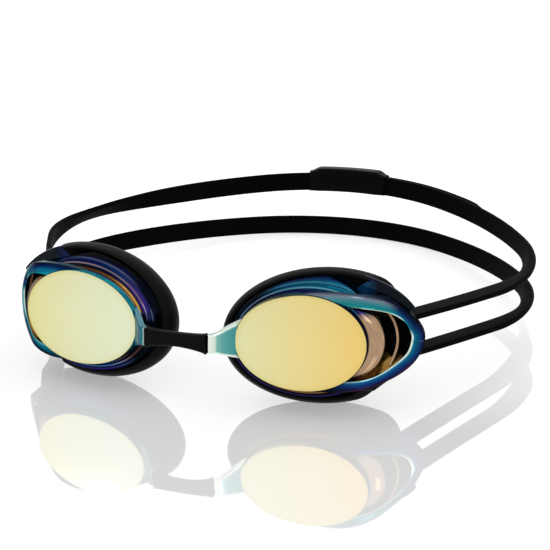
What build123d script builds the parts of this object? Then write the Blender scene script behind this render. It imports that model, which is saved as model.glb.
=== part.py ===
from build123d import *
import os
from math import cos, hypot, pi, radians, sin, tan

# Racing swim goggles, in millimetres. The model is laid out in the wearing frame: X across the
# face, Y from the lenses back round the head, Z up, lens faces upright. Right and left are as
# somebody facing the lenses sees them, so right is +X. At the end it is pitched back so that it
# stands on the two gaskets and the back of the strap, and its origin is moved to the bottom
# centre of its box.

# lens face of the right eyecup
LENS_CENTRE = (37.4, 3.7, 22.1)
LENS_NASAL, LENS_TEMPORAL, LENS_HALF_HEIGHT = 21.2, 18.9, 14.7
LENS_WRAP, LENS_CANT = 7.1, 3.05
LENS_THICKNESS = 2.0

# halfway ring of the side wall; ring sizes are nasal reach, temporal reach and half height
MID_CENTRE = (37.6, 9.6, 21.8)
MID_WRAP, MID_TILT, MID_CANT = 9.0, 4.0, 3.4
MID_RING = (23.2, 20.4, 16.0)

# gasket ring, where the cup meets the face
SEAL_CENTRE = (39.0, 19.0, 21.0)
SEAL_WRAP, SEAL_TILT, SEAL_CANT = 13.0, 9.3, 3.9
SEAL_DEPTH = 7.0
GASKET_RINGS = ((1.9, 30.6, 20.0), (0.4, 31.9, 21.0), (-2.2, 31.6, 20.8), (-SEAL_DEPTH, 28.2, 18.2))
GASKET_END = 5.8

# flange that carries the gasket, and the foot of the wall on it
FLANGE_FRONT, FLANGE_BACK = 3.5, 1.9
FLANGE_RING = (29.6, 29.9, 18.9)
WALL_FOOT = (28.4, 14.6, 17.8)

# eye cavity, from behind the lens to its mouth in the gasket
CAVITY_FRONT = (19.3, 17.2, 12.9)
CAVITY_MIDDLE = (21.5, 18.6, 14.3)
CAVITY_FLANGE = (26.6, 12.8, 16.0)
CAVITY_MOUTH = (26.0, 14.0, 16.0)

# bow, the swept frame outside the lens that carries the strap
BOW_FRONT = 1.0
BOW_FLAT_END = 8.0
BOW_BEND_RADIUS = 20.0
BOW_SWEEP = 42.0
BOW_THICKNESS = 2.2
BOW_ROOT_DEPTH = 6.0
BOW_NASAL_END, BOW_TEMPORAL_END = -14.0, 38.0
BOW_HALF_HEIGHT = 24.0
KEEPER_WIDTH, KEEPER_DEPTH = 1.3, 0.9

# strap band, one strip round both eyecups, and its adjuster clip
STRAP_WIDTH, STRAP_THICKNESS = 6.8, 1.8
POST_CENTRE = (60.6, 24.6)
POST_HEADING = 25.0
POST_LENGTH, POST_HEIGHT, POST_THICKNESS = 9.6, 7.0, 1.8
CHEEK_THICKNESS, CHEEK_HEIGHT, CHEEK_DEPTH = 1.2, 10.0, 9.0
LANE_CLEARANCE, LANE_REACH, LANE_FAN = 1.2, 16.0, 28.0
STRAP_BACK_Y = 166.1
STRAP_ARCS = ((72.8, 30.1), (113.44, 28.4), (55.7, 56.5))
STRAP_POST_Z, STRAP_GAP = 21.8, 11.6
STRAP_BACK_Z = {1: 39.8, -1: 22.4}
STRAP_CURVE = {1: 2.2, -1: 1.65}
STRAP_LEFT_LIFT = 1.3
# lean of the bands from upright (degrees) at lengths from the back, on each side: at X > 0 both
# top edges lean outward, at X < 0 the upper band's top and the lower band's bottom lean inward
LEAN = {1: ((90.0, 0.0), (150.0, 90.0)),
        -1: ((55.0, 0.0), (108.0, 46.0), (142.0, 6.0), (160.0, 6.0), (180.0, 90.0))}
CLIP_START, CLIP_END = -18.0, 12.5
CLIP_WALL, CLIP_TOP = 1.5, 2.4
CLIP_OPEN = 6.0
CLIP_PLAY = 0.3
TAIL_END = 62.0

# nose bridge and the tabs that plug into it
TAB_ROOT, TAB_ROOT_HEADING, TAB_ROOT_HEIGHT = (18.6, 2.6, 21.4), (-0.72, -0.69, 0), 12.0
TAB_NECK, TAB_NECK_HEADING, TAB_NECK_HEIGHT = (14.6, -2.1, 21.3), (-0.76, -0.65, 0), 7.8
TAB_BLADE = 2.4
TAB_END, TAB_HEADING = (10.0, -5.0, 21.2), (-0.97, -0.25, 0)
PLUG_HEADING = (-0.99, -0.12, 0)
TAB_HEIGHT, TAB_THICKNESS = 5.6, 2.6
PLUG_LENGTH, PLUG_HEIGHT, PLUG_THICKNESS = 4.0, 3.2, 1.4
BRIDGE_GAP = 0.35
BRIDGE_MIDDLE = (0.0, -5.7, 21.9)
BRIDGE_MIDDLE_HEIGHT, BRIDGE_MIDDLE_THICKNESS = 4.5, 2.6
BRIDGE_WAIST_HEIGHT, BRIDGE_WAIST_THICKNESS = 5.0, 3.0
BRIDGE_END_HEIGHT, BRIDGE_END_THICKNESS = 6.0, 3.1

# how the finished goggles stand on a table
REST_PITCH = 7.26
STAND_CENTRE_Y = 85.22
STAND_FLOOR_Z = -2.256


def face_plane(centre, wrap, tilt, cant):
    """Plane looking forward out of the right eyecup: X temporal, Y up, Z forward."""
    base = Plane(origin=centre, x_dir=(cos(radians(wrap)), sin(radians(wrap)), 0),
                 z_dir=(sin(radians(wrap)), -cos(radians(wrap)), 0))
    return base.rotated((-tilt, 0, 0)).rotated((0, 0, cant))


LENS_PLANE = face_plane(LENS_CENTRE, LENS_WRAP, 0, LENS_CANT)
MID_PLANE = face_plane(MID_CENTRE, MID_WRAP, MID_TILT, MID_CANT)
SEAL_PLANE = face_plane(SEAL_CENTRE, SEAL_WRAP, SEAL_TILT, SEAL_CANT)


def egg(nasal, temporal, half_height):
    """Egg-shaped face made of two half ellipses that share their height."""
    outer = EllipticalCenterArc((0, 0), temporal, half_height, start_angle=-90, arc_size=180)
    inner = EllipticalCenterArc((0, 0), nasal, half_height, start_angle=90, arc_size=180)
    return make_face([outer, inner])


def bow_profile(front, back):
    """Plan section of the swept bow between two depths behind its front surface."""
    turn = radians(BOW_SWEEP)
    centre = -BOW_FRONT - BOW_BEND_RADIUS

    def trace(depth):
        radius = BOW_BEND_RADIUS - depth
        start = (BOW_FLAT_END, centre + radius)
        middle = (BOW_FLAT_END + radius * sin(turn / 2), centre + radius * cos(turn / 2))
        bend = (BOW_FLAT_END + radius * sin(turn), centre + radius * cos(turn))
        end = (BOW_TEMPORAL_END, bend[1] - (BOW_TEMPORAL_END - bend[0]) * tan(turn))
        return start, middle, bend, end

    a, am, ab, ae = trace(front)
    b, bm, bb, be = trace(back)
    nasal_a = (BOW_NASAL_END, a[1])
    nasal_b = (BOW_NASAL_END, b[1])
    return make_face([Line(nasal_a, a), ThreePointArc(a, am, ab), Line(ab, ae), Line(ae, be),
                      Line(be, bb), ThreePointArc(bb, bm, b), Line(b, nasal_b),
                      Line(nasal_b, nasal_a)])


def bow_slice(front, back):
    """Swept slab, wide enough for the whole bow, in lens coordinates."""
    plan = Plane(origin=(0, 0, 0), x_dir=(1, 0, 0), z_dir=(0, -1, 0))
    return extrude(plan * bow_profile(front, back), amount=BOW_HALF_HEIGHT, both=True)


def bow_outline():
    """Outer edge of the bow seen square to the lens."""
    edge = Spline((-12, 0), (-8, 13.6), (2, 16.2), (13, 15.9), (21.5, 13.0), (28.2, 8.3), (32.3, 2.6),
                  (33.4, -3), (31.6, -8.2), (26.5, -12.0), (19, -14.6), (9, -15.9), (-3, -14.9),
                  periodic=True)
    return extrude(make_face(edge), amount=40, both=True)


def bow_window():
    """Opening between the temporal wall and the bow, seen square to the lens."""
    edge = Spline((8, -6), (13.2, -11.5), (21, -10.4), (27.2, -7.4), (29.8, -3.5), (29.9, 0.5),
                  (28.3, 5.0), (24.5, 8.6), (19, 10.4), (13.6, 10.6), (8, 4), periodic=True)
    return extrude(make_face(edge), amount=40, both=True)


def post_frame():
    """Plane at the strap post: X outboard along the post, Y up, Z forward along the strap."""
    turn = radians(POST_HEADING)
    return Plane(origin=(*POST_CENTRE, STRAP_POST_Z), x_dir=(cos(turn), -sin(turn), 0),
                 z_dir=(-sin(turn), -cos(turn), 0))


def strap_lane():
    """Room that the looped strap needs: round its turn and fanning out behind it."""
    half = STRAP_WIDTH / 2 + LANE_CLEARANCE
    radius = STRAP_GAP / 2 + STRAP_THICKNESS / 2 + LANE_CLEARANCE / 2
    turn = Rot(Y=90) * Cylinder(radius, 2 * half)
    rise = radius + LANE_REACH * tan(radians(LANE_FAN))
    side = Plane(origin=(0, 0, 0), x_dir=(0, 0, 1), z_dir=(-1, 0, 0))
    outline = Polyline((0, -radius), (-LANE_REACH, -rise), (-LANE_REACH, rise), (0, radius), close=True)
    fan = extrude(side * make_face(outline), amount=half, both=True)
    return post_frame().location * (turn + fan)


def cup_shell():
    """Outer skin of the cup, from the lens edge back to the flange."""
    front = loft([LENS_PLANE * egg(LENS_NASAL, LENS_TEMPORAL, LENS_HALF_HEIGHT),
                  MID_PLANE * egg(*MID_RING)], ruled=True)
    foot = SEAL_PLANE.offset(FLANGE_BACK) * egg(*WALL_FOOT)
    back = loft([MID_PLANE * egg(*MID_RING), foot], ruled=True)
    return front + back


def eye_cavity():
    """Hollow behind the lens, open towards the eye."""
    lens_back = LENS_PLANE.offset(-LENS_THICKNESS) * egg(*CAVITY_FRONT)
    middle = MID_PLANE.offset(0.2) * egg(*CAVITY_MIDDLE)
    at_flange = SEAL_PLANE.offset(FLANGE_BACK) * egg(*CAVITY_FLANGE)
    mouth = SEAL_PLANE.offset(-SEAL_DEPTH - 4) * egg(*CAVITY_MOUTH)
    front = loft([lens_back, middle], ruled=True)
    back = loft([middle, at_flange], ruled=True)
    seal = loft([at_flange, mouth], ruled=True)
    return front + back + seal


def flange():
    """Rim plate that the gasket sits on, with wings that reach the tip of the bow."""
    rim = SEAL_PLANE.offset(FLANGE_BACK) * egg(*FLANGE_RING)
    plate = extrude(rim, amount=FLANGE_FRONT - FLANGE_BACK)
    low_wing = Pos(64, 22, 4) * Box(16, 30, 13)
    return plate - low_wing


def strap_post():
    """Short web that the strap turns round, with the cheek that joins it to the flange."""
    web = Pos(0.2, 0, 0) * Box(POST_LENGTH, POST_HEIGHT, POST_THICKNESS)
    cheek = Pos(-5.0, 0, -0.4) * Box(CHEEK_THICKNESS, CHEEK_HEIGHT, CHEEK_DEPTH)
    return post_frame().location * (fillet(web.edges().filter_by(Axis.X), 0.8) + cheek)


def tab_section(centre, toward, height, thickness):
    """Rounded rectangle across the nose tab or the bridge."""
    plane = Plane(origin=centre, x_dir=(0, 0, 1), z_dir=toward)
    return plane * RectangleRounded(height, thickness, thickness * 0.3)


def nose_tab():
    """Tab that reaches forward from the nasal end of the lens, with the plug at its tip."""
    root = tab_section(TAB_ROOT, TAB_ROOT_HEADING, TAB_ROOT_HEIGHT, TAB_BLADE)
    neck = tab_section(TAB_NECK, TAB_NECK_HEADING, TAB_NECK_HEIGHT, TAB_BLADE)
    tip = tab_section(TAB_END, TAB_HEADING, TAB_HEIGHT, TAB_THICKNESS)
    plug = tab_section(TAB_END, PLUG_HEADING, PLUG_HEIGHT, PLUG_THICKNESS)
    blade = loft([root, neck], ruled=True) + loft([neck, tip], ruled=True)
    return blade + extrude(plug, amount=PLUG_LENGTH)


def right_eyecup():
    """Lens, side wall, flange, bow, strap post and nose tab, moulded in one piece."""
    place = LENS_PLANE.location
    body = cup_shell() + flange()
    bow = place * ((bow_outline() & bow_slice(0, BOW_THICKNESS)) - bow_window())
    arms = Pos(32, 0, 0) * Box(18, 60, 80)
    roots = bow_outline() & bow_slice(BOW_THICKNESS - 0.2, BOW_ROOT_DEPTH) & arms
    root = place * (roots - bow_window())
    edge = bow_window() - Pos(-KEEPER_WIDTH, 0, 0) * bow_window()
    middle = Pos(28, 0, 0) * Box(12, 20, 80)
    keeper = place * (edge & bow_slice(BOW_THICKNESS - 0.3, BOW_THICKNESS + KEEPER_DEPTH) & middle)
    cup = body + bow + (root - strap_lane()) + keeper
    cup = (cup - strap_lane()) + strap_post() + nose_tab()
    return cup - eye_cavity()


def right_gasket():
    """Soft ring that seals round the eye; its temporal end stays inside the strap."""
    faces = [SEAL_PLANE.offset(depth) * egg(wide, wide, high) for depth, wide, high in GASKET_RINGS]
    ring = faces[0]
    solid = None
    for front, back in zip(faces[:-1], faces[1:]):
        step = loft([front, back], ruled=True)
        solid = step if solid is None else solid + step
    inboard = post_frame().location * (Pos(-GASKET_END - 40, 0, 0) * Box(80, 120, 120))
    return (solid & inboard) - eye_cavity()


def band_z(y, side, hand):
    """Height of the strap at depth y; side 1 is the upper band, -1 the lower; hand is the sign of X."""
    part = max(0.0, (y - POST_CENTRE[1]) / (STRAP_BACK_Y - POST_CENTRE[1]))
    start = STRAP_POST_Z + side * STRAP_GAP / 2
    height = start + (STRAP_BACK_Z[side] - start) * part ** STRAP_CURVE[side]
    if side == 1 and hand == -1:
        height += STRAP_LEFT_LIFT * sin(pi * part) ** 2
    return height


def band_lean(run, hand):
    """Lean of the band in radians, a given length from the back."""
    lean = 0.0
    stops = LEAN[hand]
    for (start, before), (end, after) in zip(stops, stops[1:]):
        part = min(1.0, max(0.0, (run - start) / (end - start)))
        lean += (after - before) * part ** 2 * (3 - 2 * part)
    return radians(lean)


def plan_path():
    """Plan of the right half of the strap: (x, y, heading, length) from the back to the post."""
    x, y, heading, run = 0.0, STRAP_BACK_Y, 0.0, 0.0
    points = [(x, y, heading, run)]
    for radius, angle in STRAP_ARCS:
        steps = max(4, round(angle / 7))
        cx, cy = x - radius * sin(heading), y - radius * cos(heading)
        for _ in range(steps):
            heading += radians(angle) / steps
            run += radius * radians(angle) / steps
            points.append((cx + radius * sin(heading), cy + radius * cos(heading), heading, run))
        x, y = points[-1][:2]
    to_post = (POST_CENTRE[0] - x, POST_CENTRE[1] - y)
    steps = 4
    for step in range(1, steps + 1):
        part = step / steps
        points.append((x + to_post[0] * part, y + to_post[1] * part, heading,
                       run + hypot(*to_post) * part))
    return points


def band_face(x, y, heading, run, side, hand, outset=0.0):
    """Cross-section of the band, turning from upright at the back to flat at the post."""
    turn = -1 if hand == 1 else side
    twist = turn * band_lean(run, hand)
    out = Vector(sin(heading) * hand, cos(heading), 0)
    along = Vector(cos(heading) * hand, -sin(heading), 0)
    across = out * -sin(twist) + Vector(0, 0, cos(twist))
    centre = Vector(x * hand, y, band_z(y, side, hand)) + out * outset
    return Plane(origin=centre, x_dir=across, z_dir=along) * Rectangle(STRAP_WIDTH, STRAP_THICKNESS)


def ruled_run(faces):
    """Solid through a row of cross-sections."""
    return loft(faces, ruled=True)


def post_turn(hand):
    """Half turn of the strap round one post, from the upper band to the lower."""
    turn = radians(POST_HEADING)
    radius = STRAP_GAP / 2
    ahead = Vector(-sin(turn) * hand, -cos(turn), 0)
    side = Vector(cos(turn) * hand, -sin(turn), 0)
    steps = 10
    faces = []
    for step in range(steps + 1):
        angle = pi * step / steps
        radial = ahead * sin(angle) + Vector(0, 0, cos(angle))
        along = ahead * cos(angle) - Vector(0, 0, sin(angle))
        centre = Vector(POST_CENTRE[0] * hand, POST_CENTRE[1], STRAP_POST_Z) + radial * radius
        faces.append(Plane(origin=centre, x_dir=side, z_dir=along)
                     * Rectangle(STRAP_WIDTH, STRAP_THICKNESS))
    return ruled_run(faces)


def head_strap():
    """One continuous band: upper and lower runs, a turn at each post and the free tail."""
    path = plan_path()
    strap = post_turn(1) + post_turn(-1)
    for side in (1, -1):
        for hand in (1, -1):
            strap += ruled_run([band_face(*point, side, hand) for point in path])
    tail = [band_face(*point, 1, 1, STRAP_THICKNESS) for point in path if point[3] <= TAIL_END]
    return strap + ruled_run(tail)


def strap_clip():
    """Adjuster that straddles the upper band and its tail, curved like the back of the strap."""
    radius = STRAP_ARCS[0][0]
    centre_y = STRAP_BACK_Y - radius
    stack = 2 * STRAP_THICKNESS + 2 * CLIP_PLAY
    middle = radius + STRAP_THICKNESS / 2
    walls = Rectangle(stack + 2 * CLIP_WALL, STRAP_WIDTH + CLIP_TOP)
    channel = Rectangle(stack, STRAP_WIDTH + 2 * CLIP_PLAY + CLIP_OPEN)
    section = Pos(middle, CLIP_TOP / 2) * walls - Pos(middle, -CLIP_OPEN / 2) * channel
    start = 90 - CLIP_END / radius * 180 / pi
    sweep = (CLIP_END - CLIP_START) / radius * 180 / pi
    ring = revolve(Plane.XZ * section, axis=Axis.Z, revolution_arc=sweep)
    return Pos(0, centre_y, STRAP_BACK_Z[1]) * (Rot(Z=start) * ring)


def nose_bridge():
    """Flexible bridge with a socket in each end for a tab plug."""
    start = Vector(*TAB_END) + Vector(*TAB_HEADING) * BRIDGE_GAP
    ends = []
    for hand in (1, -1):
        toward = (TAB_HEADING[0] * hand, TAB_HEADING[1], 0)
        inward = (PLUG_HEADING[0] * hand, PLUG_HEADING[1], 0)
        centre = (start.X * hand, start.Y, start.Z)
        near = (start.X * hand * 0.62, start.Y - 0.55, start.Z + 0.35)
        middle = tab_section(BRIDGE_MIDDLE, (-hand, 0, 0), BRIDGE_MIDDLE_HEIGHT, BRIDGE_MIDDLE_THICKNESS)
        waist = tab_section(near, inward, BRIDGE_WAIST_HEIGHT, BRIDGE_WAIST_THICKNESS)
        end = tab_section(centre, toward, BRIDGE_END_HEIGHT, BRIDGE_END_THICKNESS)
        socket = tab_section(centre, inward, PLUG_HEIGHT + 2 * BRIDGE_GAP,
                             PLUG_THICKNESS + 2 * BRIDGE_GAP)
        pocket = extrude(socket, amount=PLUG_LENGTH + BRIDGE_GAP)
        pocket += extrude(socket, amount=-1)
        ends.append((loft([end, waist], ruled=True) + loft([waist, middle], ruled=True)) - pocket)
    return ends[0] + ends[1]


def stand(shape):
    """Move a shape from the wearing frame to the frame it rests in."""
    return Pos(0, -STAND_CENTRE_Y, -STAND_FLOOR_Z) * (Rot(X=-REST_PITCH) * shape)


def main():
    os.makedirs("parts", exist_ok=True)
    eyecup = right_eyecup()
    gasket = right_gasket()
    shapes = {
        "right_eyecup": eyecup,
        "left_eyecup": mirror(eyecup, about=Plane.YZ),
        "right_gasket": gasket,
        "left_gasket": mirror(gasket, about=Plane.YZ),
        "nose_bridge": nose_bridge(),
        "head_strap": head_strap(),
        "strap_clip": strap_clip(),
    }
    whole = Compound([stand(shape) for shape in shapes.values()]).bounding_box()
    for name, shape in shapes.items():
        export_step(stand(shape), f"parts/{name}.step")
        print(name, round(shape.volume, 1))
    print("box", whole.min, whole.max, "size", whole.size)


main()
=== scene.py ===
from math import cos, exp, hypot, pi, radians, sin, tan

import bmesh
import bpy
from mathutils import Matrix, Vector


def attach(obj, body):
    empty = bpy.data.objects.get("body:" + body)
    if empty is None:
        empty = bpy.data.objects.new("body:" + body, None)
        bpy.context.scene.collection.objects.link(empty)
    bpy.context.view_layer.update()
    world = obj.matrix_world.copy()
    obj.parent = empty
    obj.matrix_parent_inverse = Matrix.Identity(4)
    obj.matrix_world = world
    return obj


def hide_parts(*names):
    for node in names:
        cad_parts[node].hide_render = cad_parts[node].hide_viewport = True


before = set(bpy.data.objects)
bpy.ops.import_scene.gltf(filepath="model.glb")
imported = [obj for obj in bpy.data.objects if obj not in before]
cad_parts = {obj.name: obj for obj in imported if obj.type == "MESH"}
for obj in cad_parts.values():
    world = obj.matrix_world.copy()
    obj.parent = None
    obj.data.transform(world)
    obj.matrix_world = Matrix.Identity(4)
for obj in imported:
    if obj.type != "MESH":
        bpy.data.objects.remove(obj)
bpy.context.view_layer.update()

# Swim goggles. Shapes are worked out in millimetres in the wearing frame (X across the face, Y from
# the lenses back round the head, Z up, lens faces upright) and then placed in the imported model's
# frame, which is pitched back so that the goggles stand on their gaskets and the strap.

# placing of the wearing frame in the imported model's frame
REST_PITCH = 7.26
STAND_CENTRE_Y = 85.22
STAND_FLOOR_Z = -2.256
PLACE = (Matrix.Translation((0, -STAND_CENTRE_Y / 1000, -STAND_FLOOR_Z / 1000))
         @ Matrix.Rotation(radians(-REST_PITCH), 4, "X") @ Matrix.Scale(0.001, 4))

# lens face of the right eyecup
LENS_CENTRE = (37.4, 3.7, 22.1)
LENS_NASAL, LENS_TEMPORAL, LENS_HALF_HEIGHT = 21.2, 18.9, 14.7
LENS_DOME = 0.9
SEAL_CENTRE = (39.0, 19.0, 21.0)

# strap and its posts
STRAP_WIDTH, STRAP_THICKNESS = 6.8, 1.8
POST_CENTRE = (60.6, 24.6)
POST_HEADING = radians(25)
STRAP_BACK_Y = 166.1
STRAP_ARCS = ((72.8, 30.1), (113.44, 28.4), (55.7, 56.5))
STRAP_POST_Z, STRAP_GAP = 21.8, 11.6
STRAP_BACK_Z = {1: 39.8, -1: 22.4}
STRAP_CURVE = {1: 2.2, -1: 1.65}
STRAP_LEFT_LIFT = 1.3
# lean of the bands (degrees) at lengths from the back, on each side of the head: on the right both
# top edges lean outward, on the left the upper band's top and the lower band's bottom lean inward
LEAN = {1: ((90.0, 0.0), (150.0, 90.0)),
        -1: ((55.0, 0.0), (108.0, 46.0), (142.0, 6.0), (160.0, 6.0), (180.0, 90.0))}
CLIP_START, CLIP_END = -18.0, 12.5
# lengths from the back of the tail's free end and of its short end on the clip's other side
TAIL_END, TAIL_STUB = 62.0, 14.0

# points round each ring of an eyecup
TURN_STEPS = 192


# -------------------------------- frames and outlines

def face_frame(centre, wrap, tilt, cant):
    """Origin, temporal, up and front directions of a plane across the right eyecup."""
    w, t, c = radians(wrap), radians(tilt), radians(cant)
    across = Vector((cos(w), sin(w), 0))
    level = Vector((sin(w), -cos(w), 0))
    up = Vector((0, 0, cos(t))) - level * sin(t)
    front = level * cos(t) + Vector((0, 0, sin(t)))
    return Vector(centre), across * cos(c) + up * sin(c), up * cos(c) - across * sin(c), front


LENS = face_frame(LENS_CENTRE, 7.1, 0, 3.05)
MIDDLE = face_frame((37.6, 9.6, 21.8), 9.0, 4.0, 3.4)
SEAL = face_frame(SEAL_CENTRE, 13.0, 9.3, 3.9)


def at(plane, s, t, z=0.0):
    """Point at s temporal, t up and z forward on a plane."""
    return plane[0] + plane[1] * s + plane[2] * t + plane[3] * z


def egg(plane, nasal, temporal, half_height, turn, z=0.0):
    """Point of the egg-shaped outline at an angle; 0 is temporal and a quarter turn is up."""
    reach = temporal if cos(turn) > 0 else nasal
    return at(plane, reach * cos(turn), half_height * sin(turn), z)


def egg_ring(plane, nasal, temporal, half_height, z=0.0):
    """Closed ring of points round the egg-shaped outline."""
    return [egg(plane, nasal, temporal, half_height, 2 * pi * i / TURN_STEPS, z)
            for i in range(TURN_STEPS)]


def smooth(x):
    """Smooth step from 0 to 1."""
    x = max(0.0, min(1.0, x))
    return x * x * (3 - 2 * x)


def catmull_rom(p0, p1, p2, p3, f):
    """Point a fraction f of the way from p1 to p2 on a Catmull-Rom curve."""
    return 0.5 * (2 * p1 + (p2 - p0) * f + (2 * p0 - 5 * p1 + 4 * p2 - p3) * f * f
                  + (3 * p1 - p0 - 3 * p2 + p3) * f ** 3)


def spline_loop(points, steps):
    """Closed curve through a few points."""
    out = []
    n = len(points)
    for k in range(steps):
        u = k * n / steps
        i = int(u)
        out.append(catmull_rom(*(Vector(points[(i + j) % n]) for j in (-1, 0, 1, 2)), u - i))
    return out


def spline_open(points, steps):
    """Open curve through a few points, ends included."""
    padded = [2 * Vector(points[0]) - Vector(points[1])] + [Vector(p) for p in points]
    padded.append(2 * padded[-1] - padded[-2])
    out = []
    n = len(points) - 1
    for k in range(steps + 1):
        u = k * n / steps
        i = min(int(u), n - 1)
        out.append(catmull_rom(*padded[i:i + 4], u - i))
    return out


# -------------------------------- meshes

class Surface:
    """Collects points, faces and two shading values per point, then makes a mesh object."""

    def __init__(self):
        self.points, self.faces, self.slots, self.values, self.corners = [], [], [], [], []

    def face(self, corners, slot=0, wraps=()):
        """Adds a face; a corner listed in wraps reads its turn value one whole turn on."""
        self.faces.append(corners)
        self.slots.append(slot)
        for corner in corners:
            along, turn = self.values[corner]
            self.corners.append((along, turn + (1.0 if corner in wraps else 0.0)))

    def add_ring(self, ring, along, turns=None):
        """Adds a row of points; along and turns are what the materials read."""
        start = len(self.points)
        n = len(ring)
        for i, point in enumerate(ring):
            self.points.append(Vector(point))
            self.values.append((along, turns[i] if turns else i / n))
        return list(range(start, start + n))

    def join(self, first, second, slot=0):
        """Quads between two closed rows of the same length."""
        n = len(first)
        for i in range(n):
            j = (i + 1) % n
            self.face((first[i], first[j], second[j], second[i]), slot, () if j else (first[j], second[j]))

    def cap(self, row, slot=0, flip=False):
        """Closes a row with a fan round its centre."""
        centre = sum((self.points[i] for i in row), Vector()) / len(row)
        self.points.append(centre)
        self.values.append(self.values[row[0]])
        hub = len(self.points) - 1
        for i in range(len(row)):
            a, b = row[i], row[(i + 1) % len(row)]
            self.face((hub, b, a) if flip else (hub, a, b), slot)

    def skin(self, rows):
        """Joins each row to the next and closes both ends."""
        for first, second in zip(rows, rows[1:]):
            self.join(first, second)
        self.cap(rows[0])
        self.cap(rows[-1], flip=True)

    def build(self, name, materials, mirror=False, sharp=40):
        """Makes the object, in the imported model's frame; mirror gives the left-hand one."""
        mesh = bpy.data.meshes.new(name)
        side = -1 if mirror else 1
        points = [PLACE @ Vector((p.x * side, p.y, p.z)) for p in self.points]
        mesh.from_pydata(points, [], self.faces)
        for key, label in enumerate(("along", "turn")):
            layer = mesh.attributes.new(label, "FLOAT", "CORNER")
            layer.data.foreach_set("value", [v[key] for v in self.corners])
        for material in materials:
            mesh.materials.append(material)
        mesh.polygons.foreach_set("material_index", self.slots)
        mesh.validate()
        face_outward(mesh)
        mesh.shade_smooth()
        mesh.set_sharp_from_angle(angle=radians(sharp))
        obj = bpy.data.objects.new(name, mesh)
        bpy.context.scene.collection.objects.link(obj)
        return obj


def face_outward(mesh):
    """Turns every face to look outward."""
    bm = bmesh.new()
    bm.from_mesh(mesh)
    bmesh.ops.recalc_face_normals(bm, faces=bm.faces)
    bm.to_mesh(mesh)
    bm.free()


def rounded_section(half_width, half_height, radius, per_corner=4):
    """Rounded rectangle as (x, y) pairs, anticlockwise."""
    out = []
    for cx, cy, start in ((1, 1, 0), (-1, 1, 90), (-1, -1, 180), (1, -1, 270)):
        for k in range(per_corner + 1):
            a = radians(start + 90 * k / per_corner)
            out.append((cx * (half_width - radius) + radius * cos(a),
                        cy * (half_height - radius) + radius * sin(a)))
    return out


# -------------------------------- materials

def srgb(r, g, b):
    """Linear colour of an 8-bit display colour."""
    def channel(c):
        c = c / 255
        return c / 12.92 if c <= 0.04045 else ((c + 0.055) / 1.055) ** 2.4
    return (channel(r), channel(g), channel(b), 1.0)


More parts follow.
